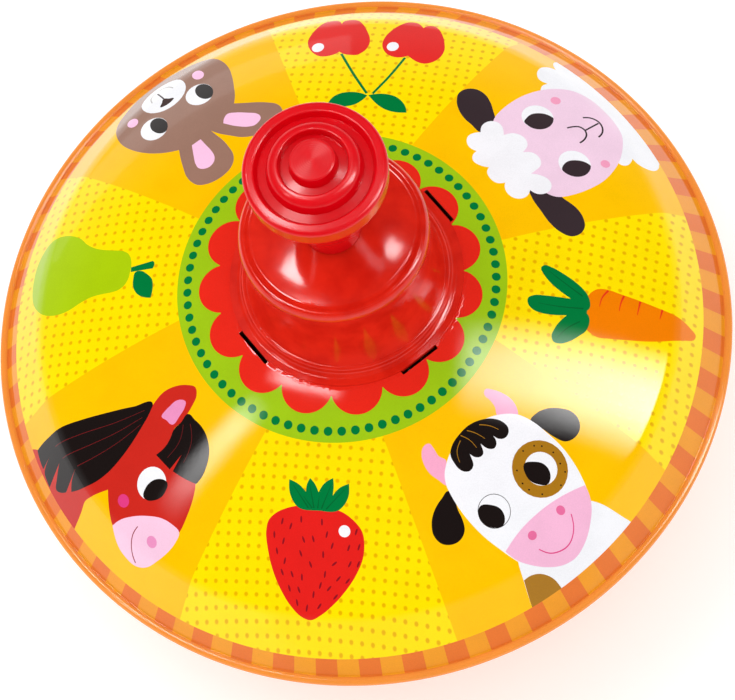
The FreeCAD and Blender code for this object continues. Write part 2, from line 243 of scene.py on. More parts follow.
# ---- artwork ----
PANEL_CENTRE = (-0.7, 0.6)
PANEL_DEG = 85.6  # direction of the first yellow panel
PANEL_TAPER = 0.49  # half width gained per millimetre outwards
PANEL_NARROW = 5.6  # half width lost at the centre
PANEL_ENDS = (30, 110)
RING_CENTRE = (-1.53, -1.45)
RING_R = 41.5
DOT_COUNT = 72
DOT_RING_R = 38.8
DOT_START_DEG = 2.8
DOT_R = 1.1
SCALLOP_CENTRE = (-1.51, -0.92)
SCALLOP_DISC_R = 30.9
SCALLOP_COUNT = 15
SCALLOP_RING_R = 29.4
SCALLOP_START_DEG = 256.4
SCALLOP_R = 6.4
BAND_CENTRE = (-1.0, -0.85)
BAND_R = 88.8
BAND_REACH = 12  # far enough to pass the foot of the cone
BAND_PAIRS = 52
BAND_START_DEG = 265.9
GOLDEN = 0.618  # spreads an eye's specks evenly


def print_panels(art):
    """Four yellow panels with straight sides, between the four amber ones."""
    ends = [(s, PANEL_TAPER * s - PANEL_NARROW) for s in PANEL_ENDS]
    for quarter in range(4):
        art.plan(wedge(PANEL_CENTRE, PANEL_DEG + 90.0 * quarter, *ends), "yellow")


def print_rings(art):
    """Green ring with its dots, the scalloped red centre and the rim's band of blocks."""
    art.plan(circle(RING_CENTRE, RING_R, 200), "green_ring")
    for index in range(DOT_COUNT):
        deg = DOT_START_DEG + 360 / DOT_COUNT * index
        art.plan(circle(polar(RING_CENTRE, DOT_RING_R, deg), DOT_R, 18), "dot_green")
    art.plan(circle(SCALLOP_CENTRE, SCALLOP_DISC_R, 120), "red")
    for index in range(SCALLOP_COUNT):
        deg = SCALLOP_START_DEG + 360 / SCALLOP_COUNT * index
        art.plan(circle(polar(SCALLOP_CENTRE, SCALLOP_RING_R, deg), SCALLOP_R, 60), "red")
    pitch = 360.0 / BAND_PAIRS
    for index in range(2 * BAND_PAIRS):
        low = BAND_START_DEG + index * pitch / 2
        turns = [low + pitch / 2 * u / 3 for u in range(4)]
        inner = [polar(BAND_CENTRE, BAND_R, deg) for deg in turns]
        outer = [polar(BAND_CENTRE, BAND_R + BAND_REACH, deg) for deg in reversed(turns)]
        art.plan(inner + outer, "band_dark" if index % 2 == 0 else "band_light")


def print_strawberry(art):
    body = art.draw("berry_red", [
        (-4.2, 57.3), (0, 57), (4, 57.3), (7, 58), (10, 59.7), (12.2, 62), (12.9, 65), (12.7, 68),
        (11.3, 71.6), (9, 75.2), (6, 78.6), (3, 81), (0.5, 82.1), (-2, 81.5), (-4.5, 79.6),
        (-7.2, 76.2), (-9.5, 72), (-11, 67.5), (-11.7, 63), (-11.3, 61), (-9.8, 59.4),
        (-7.5, 58.2)])
    seeds = [
        (-7.8, 61, 10), (-5.6, 62, 15), (-3.1, 60.3, -5), (2.1, 60.6, -5), (3.5, 63.3, 10),
        (10.7, 62.1, 15), (-9.6, 64.1, -5), (-7.2, 65.4, 10), (-2.2, 64.8, -25), (0.2, 64.5, -20),
        (5, 65.7, 15), (9.1, 65.8, 15), (11.6, 65.4, 15), (-8.7, 67.7, -15), (-6.6, 69.8, 10),
        (-2.7, 67.9, -25), (2.9, 67.8, -5), (-0.1, 70.2, -25), (5.8, 69.6, 50), (9.6, 69.4, 25),
        (11.7, 69.2, 20), (-7.1, 72.3, -25), (-4.6, 72.6, -25), (-2.1, 73.1, -5), (3.6, 72.1, 5),
        (7, 72.8, 40), (9.3, 73.1, 40), (-5.1, 75.7, -20), (-2.7, 75.9, -25), (2.6, 74.6, 15),
        (4.8, 75.1, 40), (6.5, 76.8, 40), (1, 76.7, 5), (-3, 78.7, -15), (-0.5, 79.7, 10),
        (2.6, 79.1, 35)]
    for t, s, tilt in seeds:
        art.spot("maroon", t, s, 0.24, 0.8, tilt, 12, inside=body)
    art.spot("white", 7.8, 62.2, 1.45, 1.35)
    art.draw("leaf_green", [
        (-4.3, 57.5), (-6.4, 54.5), (-6.8, 51.4, 1), (-4.3, 52.4), (-2.4, 54, 1), (-2.3, 52.3),
        (-1.6, 50.8, 1), (-0.2, 52.2), (0.75, 53.9, 1), (2, 51.8), (4.1, 50.4, 1), (4.4, 52.5),
        (4.3, 54.4, 1), (5.9, 52.5), (8.1, 51.4, 1), (8.2, 54.3), (6.2, 57.5), (1, 58.1)])
    for t, s in ((-5.7, 52.6), (-2.9, 55.1), (-1.6, 52.2), (1, 54.8), (3.7, 52.1), (7.1, 52.8)):
        art.stroke("leaf_vein", [(0.7 + 0.35 * (t - 0.7), 57.6), (t, s)], 0.3, 0.1)


def print_cow(art):
    art.draw("white", [
        (-9.3, 80.2), (-10.8, 83.8), (-12.5, 88.5), (-13.5, 92, 1), (22, 92, 1), (20.5, 87.8),
        (18.8, 85.3), (16.5, 82), (14.5, 79.8)])
    art.draw("ring_brown", [
        (-10.7, 83.8, 1), (-8.5, 84), (-5.8, 85.3), (-4.2, 87.3), (-3.8, 89.5), (-3.6, 92, 1),
        (-13.5, 92, 1), (-12.5, 88.5)])
    art.draw(
        "horn_pink",
        [(-10.9, 46.9), (-9.3, 47.2), (-9.2, 48.8), (-9.4, 50.8), (-8.6, 52.8), (-9.5, 53.8),
         (-12, 57.4), (-13, 55), (-13.7, 52.5), (-13.4, 50), (-12.4, 48)],
        [(9.7, 45.3), (8.9, 46.2), (9.2, 48), (9.1, 50), (8.2, 51.8), (12.3, 54.8), (13.3, 53.2),
         (13.6, 51), (12.9, 48.7), (11.6, 46.7)])
    art.draw(
        "black",
        [(-12.6, 58.4), (-15, 58.7), (-18, 59.6), (-20.5, 61.3), (-22.1, 64), (-21.8, 66.3),
         (-20, 68), (-17.5, 68.5), (-15.3, 67.5), (-14.2, 65.5), (-13.6, 63), (-12.8, 61)],
        [(14.2, 57.2), (16, 56.8), (19, 57.2), (22, 59), (23.8, 61), (24.2, 63), (23, 65.3),
         (20.5, 66.3), (18, 65.8), (16.4, 63.5), (15.3, 60.5)])
    head = art.draw("white", [
        (-9, 53.3), (0, 50.5), (8.5, 51.8), (12.5, 54.5), (14.5, 58), (15.6, 62), (16.4, 66),
        (16.5, 70), (15.9, 74.5), (15.2, 77), (14.2, 79.5), (12, 82.3), (9, 84.5), (5, 86.2),
        (2.5, 86.7), (-1, 86), (-4.5, 84.5), (-7.5, 82.3), (-9.3, 80.3), (-10.2, 78.3),
        (-11.2, 75.5), (-12.3, 72), (-13, 68), (-13.2, 64), (-12.8, 59.5), (-12.2, 57), (-11, 55)])
    art.draw("pink", [
        (-10.4, 76.8, 1), (-5, 75.4), (2, 74.7), (9, 75), (15.4, 76.1, 1), (14.8, 78.5),
        (13.5, 80.8), (11, 83.2), (7.5, 85.4), (3, 86.7), (-0.5, 86.3), (-4, 84.8), (-7.5, 82.2),
        (-9.3, 80)])
    art.spot("rose", -2.7, 77.8, 1.15, 1.0)
    art.spot("rose", 6.7, 77.3, 1.1, 1.1)
    art.stroke("magenta", [
        (-3.4, 81), (-2, 82.8), (1, 84), (3.5, 84), (6.5, 82.3), (8.3, 79.3)], 0.25)
    art.draw("black", [
        (-7.4, 54.5), (-6.9, 52.3), (-5, 50.8), (-2, 49.9), (1, 49.6), (4, 50.2), (6.8, 51.7),
        (8.4, 53.8), (8.6, 55.5), (7.5, 56.8), (6.2, 57), (5, 56.3), (4.4, 55, 1), (3.8, 56.9),
        (2.7, 57.4), (1.6, 56.8), (0.7, 54.6, 1), (0.4, 55.5), (-0.3, 56.8), (-1.2, 57),
        (-2.3, 56.4), (-3, 55, 1), (-3.3, 56), (-4, 57.5), (-5.3, 58), (-6.7, 57.3), (-7.4, 55.8)])
    for lock in (
        [(-2.8, 51.2), (-5.2, 52.8), (-6.2, 55)],
        [(-2, 50.3), (-0.9, 52.5), (-0.7, 54.8)],
        [(0, 50.3), (1.3, 52), (2.3, 54.3)],
        [(3.3, 51), (5.3, 52.8), (6.4, 54.6)]):
        art.stroke("ring_brown", lock, 0.22, 0.12)
    art.spot("black", -6.7, 68.4, 4.1, 3.85)
    art.spot("white", -6.7, 68.4, 3.95, 3.7)
    art.draw("black", [
        (-9, 65.6), (-6.3, 67), (-5.1, 69), (-5.7, 71.2), (-7, 72.1), (-8.8, 71.5), (-10.4, 69.8),
        (-10.8, 68), (-10.2, 66.6), (-9.6, 65.9)])
    art.spot("ring_brown", 8.7, 67.3, 6.9, 6.55, inside=head)
    for index in range(11):
        deg = 20 + 360 * index * (1 - GOLDEN)
        reach = 5.2 + 0.9 * ((index * GOLDEN) % 1)
        speck = polar((8.7, 67.3), reach, deg)
        art.spot("black", speck.x, speck.y, 0.22, 0.22, 0, 8)
    art.spot("white", 8.9, 67.4, 4.05, 3.85)
    art.draw("black", [
        (6.2, 64.3), (8.5, 65.2), (10.2, 67), (10.4, 68.5), (9.5, 70.3), (8, 71.1), (6, 69.8),
        (4.9, 68), (5, 66.2)])


def print_horse(art):
    art.draw("horse_red", [
        (-2, 44.6), (-0.3, 45.6), (0.9, 48), (1.5, 50), (1.9, 52.5), (1.9, 55.2), (9, 56),
        (15.9, 59.3), (18, 62), (19.8, 65.5), (21.2, 69.5), (20, 76), (13, 81), (6.6, 80.9),
        (4, 79.6), (1.5, 77.9), (-0.4, 76.4, 1), (-1.5, 78.2), (-3, 80.8), (-3.8, 82.3),
        (-3.3, 84.5), (-2.8, 88), (-2.6, 92, 1), (-29, 92, 1), (-27.3, 84), (-25.3, 83, 1),
        (-16, 70), (-6.9, 55), (-7.1, 54), (-7.2, 51), (-6, 48), (-4, 45.7)])
    art.draw("muzzle_pink", [
        (21.2, 69.6), (18.5, 69.7), (15.5, 70.7), (12.5, 72.8), (9.5, 75.7), (7.5, 78.5),
        (6.6, 80.9, 1), (8.5, 82), (11, 82.9), (14, 83.1), (17.5, 82.5), (20, 80.8), (21.6, 78),
        (22.3, 75), (22.2, 72)])
    art.spot("lilac", 17.5, 76.1, 1.55, 1.2)
    art.stroke("maroon", [
        (12.1, 76.4), (12.4, 78.3), (13.6, 80.2), (15.5, 81.6), (17, 82.1)], 0.25)
    art.spot("magenta", 4.8, 75.2, 1.7, 1.4)
    art.spot("white", 7.4, 67.35, 4.0, 3.85)
    art.draw("black", [
        (10.3, 64.3), (11.5, 66), (11.7, 67.5), (10.8, 69.5), (9.5, 70.7), (8.1, 70.9), (7, 69.3),
        (6.9, 67.3), (7.9, 65.4), (9.2, 64.5)])
    art.draw("lilac", [
        (-3.3, 52), (-3.2, 50.5), (-2.2, 49), (-1.2, 48.6), (-0.2, 49.7), (0.4, 51.8), (0.6, 54.7),
        (-1.3, 55), (-3, 55.3), (-3.3, 54)])
    art.draw("black", [
        (-7.1, 55), (-10.5, 59), (-15, 65), (-19, 70.5), (-21.7, 74.5), (-23.7, 78.6), (-24.8, 81),
        (-25.4, 83.2, 1), (-22, 84.6), (-20.5, 85, 1), (-20.6, 82, 1), (-19.3, 85.5), (-18, 86),
        (-15.8, 86.6, 1), (-16.7, 81.3, 1), (-15, 84), (-13.5, 85.8), (-12, 85.5), (-10.3, 84.4, 1),
        (-11.3, 79, 1), (-10.2, 82), (-8.9, 83.4, 1), (-6.3, 80.8), (-4.4, 77.5), (-3.5, 74),
        (-3.4, 69), (-3.9, 65), (-4.8, 61), (-5.8, 57.5), (-6.8, 55.2, 1)])
    for hair in (
        [(-7.5, 57.5), (-11, 64.5), (-16.5, 73), (-20.5, 79.5)],
        [(-6.6, 59), (-9, 66), (-13, 74), (-16.5, 80)],
        [(-5.6, 60.5), (-6.8, 67), (-9, 73.5), (-11.3, 78.5)]):
        art.stroke("dark_red", hair, 0.12, 0.2)
    art.draw("black", [
        (1.6, 50.1), (4, 49.7), (6.5, 49.5), (9.5, 50.1), (12.5, 51.8), (14.7, 54.5), (15.9, 57.5),
        (16, 59.2, 1), (13, 60.5), (9.3, 61.6, 1), (8, 57.5, 1), (8.4, 61.9, 1), (3.1, 62.2, 1),
        (3.4, 59.5), (2.8, 57), (1.9, 55.2), (1.9, 52.5)])
    for hair in (
        [(4, 51.2), (7.3, 53.5), (9.8, 58.3)],
        [(2.8, 52.6), (5, 55.5), (5.8, 60.5)]):
        art.stroke("dark_red", hair, 0.14, 0.1)


def print_rabbit(art):
    art.draw("rabbit_brown", [
        (-1.5, 57.7, 1), (-1.7, 55), (-1.9, 52.5), (-1.7, 49.5), (-1.2, 46.8), (0, 44.9), (2, 43.6),
        (4.5, 43.2), (7, 43.5), (9.3, 44.5), (10.9, 46), (11.5, 48), (11.4, 50.5), (10.4, 53.5),
        (9.2, 56.5), (7.9, 59.2, 1), (10.8, 61.5), (13.2, 64.2), (15.2, 67.5), (16.5, 71), (17, 74),
        (16.6, 77.5), (15, 81), (12.5, 84), (9, 86), (5, 87.6), (0, 88.2), (-5, 87.8), (-10.5, 86),
        (-13.5, 84.2), (-15.8, 81.8), (-17.2, 79), (-17.7, 76), (-17.4, 73), (-16.2, 69.5),
        (-14.5, 66), (-12.5, 62.5), (-11, 60.7, 1), (-13.3, 58.4), (-15.5, 56.3), (-17.5, 54),
        (-18.8, 51.9), (-18.9, 50), (-17.5, 47.6), (-14.5, 46.2), (-11, 46.4), (-8.2, 47.7),
        (-6, 49.5), (-4, 52.5), (-2.3, 55.5)])
    art.draw("ear_pink", [
        (-13.4, 52.3), (-13, 51), (-11.8, 50.4), (-10.5, 50.3), (-9.3, 51), (-7.3, 53.3),
        (-5.2, 57.2, 1), (-5.8, 58, 1), (-7.7, 59), (-9.5, 57.7), (-11.8, 55), (-13, 53.5)])
    art.draw("ear_pink", [
        (2, 57.5, 1), (2.1, 54.5), (2.2, 52), (2.9, 49.5), (4, 48.5), (5.3, 48.2), (6.8, 48.8),
        (7.7, 50.2), (7.5, 51.8), (6.3, 54.5), (4.7, 57.7, 1)])
    for eye_t, pupil in ((-6.6, (-8.1, 70.9, 2.15, 3.35)), (8.3, (6.8, 70.9, 2.12, 3.3))):
        eye = art.spot("white", eye_t, 71.1, 3.7, 4.0)
        art.spot("black", *pupil, inside=eye)
    art.spot("white", 0, 79.4, 6.5, 5.7)
    nose = [
        (-1.3, 75.9), (-0.6, 75.6), (2, 75.7), (2.9, 76.2), (1.8, 77.3), (0.7, 78.2), (-0.4, 77)]
    art.local(curve(nose, step=FINE_STEP), "dark_brown")
    art.stroke("dark_brown", [(0.6, 78), (0.6, 81.8)], 0.4)
    art.stroke("grey", [(-3.3, 79.5), (-2.3, 81.8), (-0.5, 82.9)], 0.35)
    art.stroke("grey", [(0.6, 82.8), (2.5, 82), (3.5, 79.7)], 0.35)
    art.spot("ear_pink", -10.4, 77.8, 1.5, 1.95)
    art.spot("ear_pink", 10.9, 78.3, 1.5, 1.65)


def print_sheep(art):
    art.draw("white", [
        (-13.5, 77), (-15, 77.3), (-15.8, 78.5), (-15.5, 80), (-14.7, 81.2, 1), (-16.5, 81.4),
        (-18.4, 82.5), (-19.3, 84.3), (-18.7, 86.2), (-17.3, 87.6), (-16, 92, 1), (21, 92, 1),
        (22.9, 86.4), (22.7, 85.2), (21.3, 84), (19.2, 83.2, 1), (20.6, 81.5), (20.9, 79.8),
        (19.8, 77.8), (17.7, 76.8), (15.3, 77.7, 1), (15.3, 76), (14.2, 74.6), (0, 70)])
    art.draw(
        "sheep_dark",
        [(-9.8, 52.4), (-12, 51.5), (-16, 51), (-20, 50.7), (-23.5, 51.3), (-25.8, 52.8),
         (-26.4, 54.9), (-25.5, 57.3), (-23.3, 58.7), (-20.3, 59.1), (-17, 58.3), (-12.9, 56.8)],
        [(10.8, 53.2), (14, 52.8), (17, 52.6), (20, 53.2), (22.8, 54.7), (24.5, 56.7), (24.6, 58.8),
         (23.2, 60.9), (20.5, 61.8), (17.5, 61.3), (14.5, 60), (12.2, 58.8)])
    face = art.draw("sheep_pink", [
        (-15.3, 57.3), (-16.6, 61), (-17.2, 65.5), (-17, 70), (-15.8, 74), (-13.8, 77.8), (-11, 81),
        (-7.5, 83.6), (-3, 84.8), (1.5, 84.9), (6, 84.2), (10, 82), (12.8, 78.5), (14.3, 74.5),
        (14.9, 70), (14.6, 65.5), (13.7, 61.5), (12.7, 59), (8, 55), (0, 53), (-8, 54)])
    art.draw("white", [
        (-12.8, 55.8), (-11.6, 58), (-10, 58.4), (-8, 57.6), (-6.2, 55.8, 1), (-6, 57.5),
        (-5.4, 59.5), (-3.5, 60.6), (-1.4, 60.2), (0.1, 58.2, 1), (1.6, 60.8), (3.7, 61.3),
        (5.9, 60.2), (7, 57.5, 1), (8, 58.2), (9.9, 58.9), (11.5, 58.5), (12.6, 56.9), (12.4, 54.8),
        (10.9, 53.2, 1), (11.5, 52), (11.7, 50), (10.6, 48.6), (8.8, 48), (6.7, 48.7, 1),
        (6.3, 47.3), (4.9, 46.2), (2.8, 46.7), (1, 48.2, 1), (0.2, 47), (-1.7, 46.4), (-3.8, 46.9),
        (-4.9, 48.7, 1), (-6, 47.7), (-8, 47.2), (-10, 48), (-11, 49.8), (-10.8, 51.3),
        (-10, 52.5, 1), (-11.8, 53.3), (-12.7, 54.8)])
    left = art.spot("white", -9.3, 67.1, 4.1, 4.0, inside=face)
    art.draw("sheep_dark", [
        (-9.2, 63.2), (-8.3, 64.3), (-7.9, 66), (-8.6, 68), (-10.2, 69.7), (-12.1, 70.2),
        (-13.1, 68.8), (-13.7, 66.8), (-13.2, 65), (-12, 63.8), (-10.6, 63.2)], inside=left)
    right = art.spot("white", 7.2, 68.3, 4.05, 4.0)
    art.draw("sheep_dark", [
        (7.6, 64.4), (8.4, 65.7), (8.8, 67.5), (8.2, 69.3), (6.6, 71), (4.4, 71.5), (3.4, 69.8),
        (2.8, 67.8), (3.5, 66), (5, 64.9), (6.4, 64.5)], inside=right)
    for line in (
        [(-4.7, 72.4), (-4.4, 74), (-3.3, 75.6), (-1.9, 76.1), (-0.4, 75.5), (0.3, 74.2),
         (0.7, 72.6)],
        [(-2.1, 76), (-1.7, 80.7)],
        [(-5.4, 77.8), (-4.7, 79.5), (-3.2, 80.7), (-1.3, 81), (0.6, 80), (1.6, 78.3)]):
        art.stroke("sheep_dark", line, 0.45)
    art.spot("cheek_pink", -13, 73.9, 1.2, 1.2)
    art.spot("cheek_pink", 9.5, 75.8, 1.3, 1.3)


def print_cherries(art):
    art.stroke("leaf_green", [(-1, 54.3), (-4.2, 60.5), (-7.2, 68)], 0.7)
    art.stroke("leaf_green", [(0.5, 54.3), (4.5, 60), (9.6, 68.2)], 0.7)
    art.draw("berry_red", [
        (-7.8, 68.8, 1), (-9, 67.8), (-10.5, 66.8), (-12.5, 66.4), (-14.5, 67.3), (-16, 69.2),
        (-16.7, 72), (-16.3, 75), (-15.2, 78.2), (-13.7, 80.6), (-12.2, 81.6), (-10.7, 81.2),
        (-9.9, 80.2, 1), (-9.2, 81.2), (-7.8, 82.3), (-6, 82.4), (-4, 81), (-1.9, 78.3),
        (-0.7, 75.5), (-0.4, 72.8), (-1.2, 70.3), (-2.7, 68.6), (-4.8, 67.9), (-6.5, 68.1)])
    art.draw("berry_red", [
        (10.3, 69, 1), (11.5, 67.9), (13.2, 67.2), (15, 67.1), (17, 68.2), (18.6, 70.3), (19.5, 73),
        (19, 76), (17.8, 79), (16.3, 81.2), (14.5, 82), (12.8, 81.6), (11.8, 80.3, 1), (11.4, 81.6),
        (10, 82.3), (8, 82.1), (6.2, 80.4), (4.4, 77.4), (3.2, 74.5), (3, 71.8), (3.9, 69.4),
        (5.5, 68), (7.5, 67.9), (9, 68.2)])
    art.spot("white", -3.3, 71.9, 1.55, 1.75)
    art.spot("white", 16.3, 70.5, 1.6, 1.75)
    art.draw(
        "leaf_green",
        [(-10.6, 48.8, 1), (-8.3, 48.6), (-5, 49.3), (-2.5, 51), (-0.7, 52.9), (0, 53.7, 1),
         (-1.5, 54.2), (-4, 54.5), (-6.7, 54), (-9, 52.3), (-10.2, 50.4)],
        [(0.2, 53.6, 1), (1.2, 52), (3, 50.3), (5, 49.6), (8, 49.4), (9.9, 50.6, 1), (9.2, 52.3),
         (7.5, 53.8), (5, 54.5), (2.5, 54.4)])


def print_pear(art):
    art.draw("pear_green", [
        (-1, 54.8), (0.8, 55), (2.5, 55.8), (3.7, 57.3), (4.2, 59.5), (4.4, 62), (4.9, 65),
        (6, 67.8), (7.3, 70.2), (8.2, 73), (8.3, 75.8), (7.5, 78.7), (5.6, 81), (3, 82.7),
        (0, 83.6), (-4, 83.9), (-8, 83.5), (-11, 82.2), (-13.2, 80), (-14.1, 77), (-13.8, 74),
        (-12.5, 71), (-10.3, 68.5), (-8.8, 65.8), (-8, 63), (-7.5, 60), (-7.1, 57.8), (-6, 56),
        (-4.2, 55), (-2.5, 54.7)])
    art.draw(
        "leaf_green",
        [(-3.5, 48.9, 1), (-3, 48.4), (-1.4, 48.6, 1), (-0.9, 54.6, 1), (-2.2, 54.7, 1)],
        [(-0.9, 51.5), (0, 50), (1.5, 48.4), (4, 47.8), (6.6, 48, 1), (6.3, 50), (5.2, 52),
         (3.3, 53.3), (1, 53.6), (-0.8, 53.3)])


def print_carrot(art):
    art.draw("carrot_orange", [
        (-5, 61.7), (-4, 61.2), (-2, 61), (0.5, 60.8), (3, 61), (5, 62), (6.3, 63.5), (6.7, 65.5),
        (6.4, 69), (5.9, 74), (5.3, 79), (4.7, 83), (3.4, 86.3), (2.2, 87.8), (1.2, 87.7),
        (-0.7, 85.3), (-2.5, 81.5), (-4, 77.2), (-5.2, 72), (-6.1, 67), (-6.4, 64.5), (-5.8, 62.8)])
    for line in (
        [(6.5, 66), (4.2, 64.7), (1.7, 64.3)],
        [(6.2, 69.9), (4, 69.3), (1.8, 69.1)],
        [(5.8, 73.9), (2, 73.5)],
        [(5.3, 79.4), (2.6, 79)]):
        art.stroke("red", line, 0.5, 0.15)
    art.draw(
        "leaf_green",
        [(-4.5, 61.5, 1), (-2.6, 57), (-3.1, 54), (-3.3, 51), (-2.8, 48.5), (-1.4, 47.1), (0, 47),
         (1, 48.3), (1.5, 51), (1.8, 54), (2.1, 57.2), (3.6, 61.4, 1)],
        [(2.1, 57.2), (3.3, 54.8), (5, 52.2), (7, 50.2), (8.8, 49.3), (9.6, 50), (9.4, 51.8),
         (8.3, 54.8), (6.7, 58), (5, 60.3), (4, 61.2), (0, 61.6)],
        [(-2.5, 56.8), (-4.2, 55.4), (-6.7, 54.1), (-8.8, 53.6), (-10.1, 54.3), (-10.2, 55.6),
         (-9.2, 57.8), (-7.3, 60), (-5.2, 61.8), (-1, 61.6)])
    for line in ([(0.2, 60.5), (-0.6, 55), (-0.8, 49.6)], [(3.4, 60), (6.2, 54.8), (8.2, 51.4)],
                 [(-3.4, 60), (-6.2, 56.8), (-8.8, 55)]):
        art.stroke("leaf_vein", line, 0.35, 0.12)


def printed_shapes():
    art = Print()
    print_panels(art)
    for deg, print_picture in (
            (265.5, print_strawberry), (310.5, print_cow), (220.5, print_horse),
            (130.5, print_rabbit), (40.5, print_sheep), (85.5, print_cherries),
            (175.5, print_pear), (355.5, print_carrot)):
        art.face_to(deg)
        print_picture(art)
    print_rings(art)
    return art.shapes


# ---- materials ----
def linear(code):
    """Linear colour from an sRGB hex code."""
    parts = [int(code[i:i + 2], 16) / 255 for i in (1, 3, 5)]
    lit = [c / 12.92 if c <= 0.04045 else ((c + 0.055) / 1.055) ** 2.4 for c in parts]
    return (*lit, 1.0)


def shaded(colour, factor, lift=0.0):
    """The colour made darker or paler, still opaque."""
    return (*(min(1.0, c * factor + lift) for c in colour[:3]), 1.0)


def add_object(name, data):
    thing = bpy.data.objects.new(name, data)
    bpy.context.collection.objects.link(thing)
    return thing


class Nodes:
    """Helpers for the node tree of a material, lamp or world."""

    def __init__(self, owner, end):
        owner.use_nodes = True
        self.tree = owner.node_tree
        self.shader = self.tree.nodes[end]

    def add(self, kind, sockets, **settings):
        """A node; sockets maps an input's name or number to a value or to another output."""
        node = self.tree.nodes.new("ShaderNode" + kind)
        for label, value in settings.items():
            setattr(node, label, value)
        for label, value in sockets.items():
            if isinstance(value, bpy.types.NodeSocket):
                self.tree.links.new(value, node.inputs[label])
            else:
                node.inputs[label].default_value = value
        return node

    def wire(self, output, label):
        self.tree.links.new(output, self.shader.inputs[label])

    def span(self, value, low, high, new_low=0.0, new_high=1.0, smooth=False):
        sockets = dict(enumerate((value, low, high, new_low, new_high)))
        kind = "SMOOTHSTEP" if smooth else "LINEAR"
        return self.add("MapRange", sockets, interpolation_type=kind).outputs["Result"]

    def maths(self, kind, first, second=0.0):
        return self.add("Math", {0: first, 1: second}, operation=kind).outputs[0]


class Finish(Nodes):
    """A node material on one Principled shader."""

    def __init__(self, name, **values):
        self.material = bpy.data.materials.new(name)
        super().__init__(self.material, "Principled BSDF")
        self.place = self.add("TexCoord", {}).outputs["Object"]
        for label, value in values.items():
            self.shader.inputs[label.replace("_", " ")].default_value = value

    def noise(self, size, detail=3.0, squeeze=None):
        """Noise with features about this many millimetres across; squeeze draws them out."""
        place = self.place
        if squeeze:
            place = self.add("Mapping", {"Vector": place, "Scale": squeeze}).outputs[0]
        sockets = {"Vector": place, "Scale": 1 / (size * MM), "Detail": detail, "Roughness": 0.55}
        return self.add("TexNoise", sockets).outputs["Fac"]

    def vector(self, kind, *values, output=0):
        return self.add("VectorMath", dict(enumerate(values)), operation=kind).outputs[output]

    def mix(self, share, first, second):
        """Colour mix; inputs 6 and 7 and output 2 are the colour sockets of the node."""
        sockets = {0: share, 6: first, 7: second}
        return self.add("Mix", sockets, data_type="RGBA").outputs[2]

    def bump(self, height, depth, before=None):
        """Relief of this many millimetres for a height of 0 to 1."""
        sockets = {"Height": height, "Strength": 1.0, "Distance": depth * MM}
        if before is not None:
            sockets["Normal"] = before
        return self.add("Bump", sockets).outputs["Normal"]

    def radius(self):
        """Distance from the spin axis, in millimetres."""
        flat = self.vector("MULTIPLY", self.place, (1 / MM, 1 / MM, 0))
        return self.vector("LENGTH", flat, output="Value")


def ink(name, code, mottle=0.03, orange_peel=0.004):
    """Printing ink under clear varnish: fine screen grain, slight mottling and orange peel."""
    finish = Finish(name, Roughness=0.42, Specular_IOR_Level=0.0, Coat_Weight=1.0,
                    Coat_Roughness=0.06, Coat_IOR=1.38)
    colour = linear(code)
    deep = shaded(colour, 1 - 2.2 * mottle)
    grain = finish.noise(0.32, detail=1.0)
    cloud = finish.noise(9.0)
    blend = finish.maths("MULTIPLY", finish.maths("ADD", grain, cloud), 0.5)
    finish.wire(finish.mix(finish.span(blend, 0.38, 0.6), deep, colour), "Base Color")
    finish.wire(finish.span(cloud, 0.3, 0.7, 0.38, 0.48), "Roughness")
    peel = finish.bump(finish.noise(1.8, detail=2.0), orange_peel)
    ripple = finish.bump(finish.noise(14.0, detail=1.0), 0.05, peel)
    finish.wire(ripple, "Coat Normal")
    finish.wire(peel, "Normal")
    return finish


DOT_OCHRE = "#E2A800"
DOT_PITCH = 2.65
DOT_ORIGIN = (-5.26, -43.44)  # one dot of the yellow panels
DOT_CORE = 0.10  # share of the pitch that is full ochre
DOT_EDGE = 0.26  # where the dot has faded out
DOT_DEPTH = 0.95
DOT_TURN = math.radians(4.5)
HALF_CELL = (0.5, 0.5, 0)


def dotted_ink(name, code):
    """Yellow ink with a square lattice of soft ochre dots."""
    finish = ink(name, code)
    origin = Vector((DOT_ORIGIN[0] * MM, DOT_ORIGIN[1] * MM, 0))
    moved = finish.vector("SUBTRACT", finish.place, origin)
    turned = finish.add("VectorRotate", {"Vector": moved, "Angle": DOT_TURN},
                        rotation_type="Z_AXIS")
    pitch = 1 / (DOT_PITCH * MM)
    cells = finish.vector("MULTIPLY", turned.outputs[0], (pitch, pitch, 0))
    cell = finish.vector("FRACTION", finish.vector("ADD", cells, HALF_CELL))
    away = finish.vector("DISTANCE", cell, HALF_CELL, output="Value")
    share = finish.span(away, DOT_CORE, DOT_EDGE, DOT_DEPTH, 0.0, smooth=True)
    base = finish.shader.inputs["Base Color"].links[0].from_socket
    finish.wire(finish.mix(share, base, linear(DOT_OCHRE)), "Base Color")
    return finish


INKS = {
    "amber": "#FCC000", "yellow": "#FCDE00", "green_ring": "#9CC616", "dot_green": "#00783A",
    "red": "#E5281A", "band_dark": "#E4742C", "band_light": "#EE9A24", "bead_orange": "#F0903A",
    "berry_red": "#E0201C", "maroon": "#8A1420", "white": "#F1F1F5", "leaf_green": "#00783A",
    "leaf_vein": "#06602E", "black": "#1B1413", "ring_brown": "#A87418", "pink": "#F2B6D4",
    "horn_pink": "#F4A8C8", "rose": "#E46C9C", "lilac": "#E890BE", "magenta": "#DC3C80",
    "cheek_pink": "#F09CBC", "ear_pink": "#FAC4E4", "horse_red": "#C8281E",
    "muzzle_pink": "#F4C6DE", "dark_red": "#6E1A1E", "rabbit_brown": "#9A7565",
    "dark_brown": "#3A2420", "grey": "#B8B4B2", "sheep_pink": "#EFCDE2", "sheep_dark": "#382C30",
    "pear_green": "#A8C80A", "carrot_orange": "#F07D00",
}


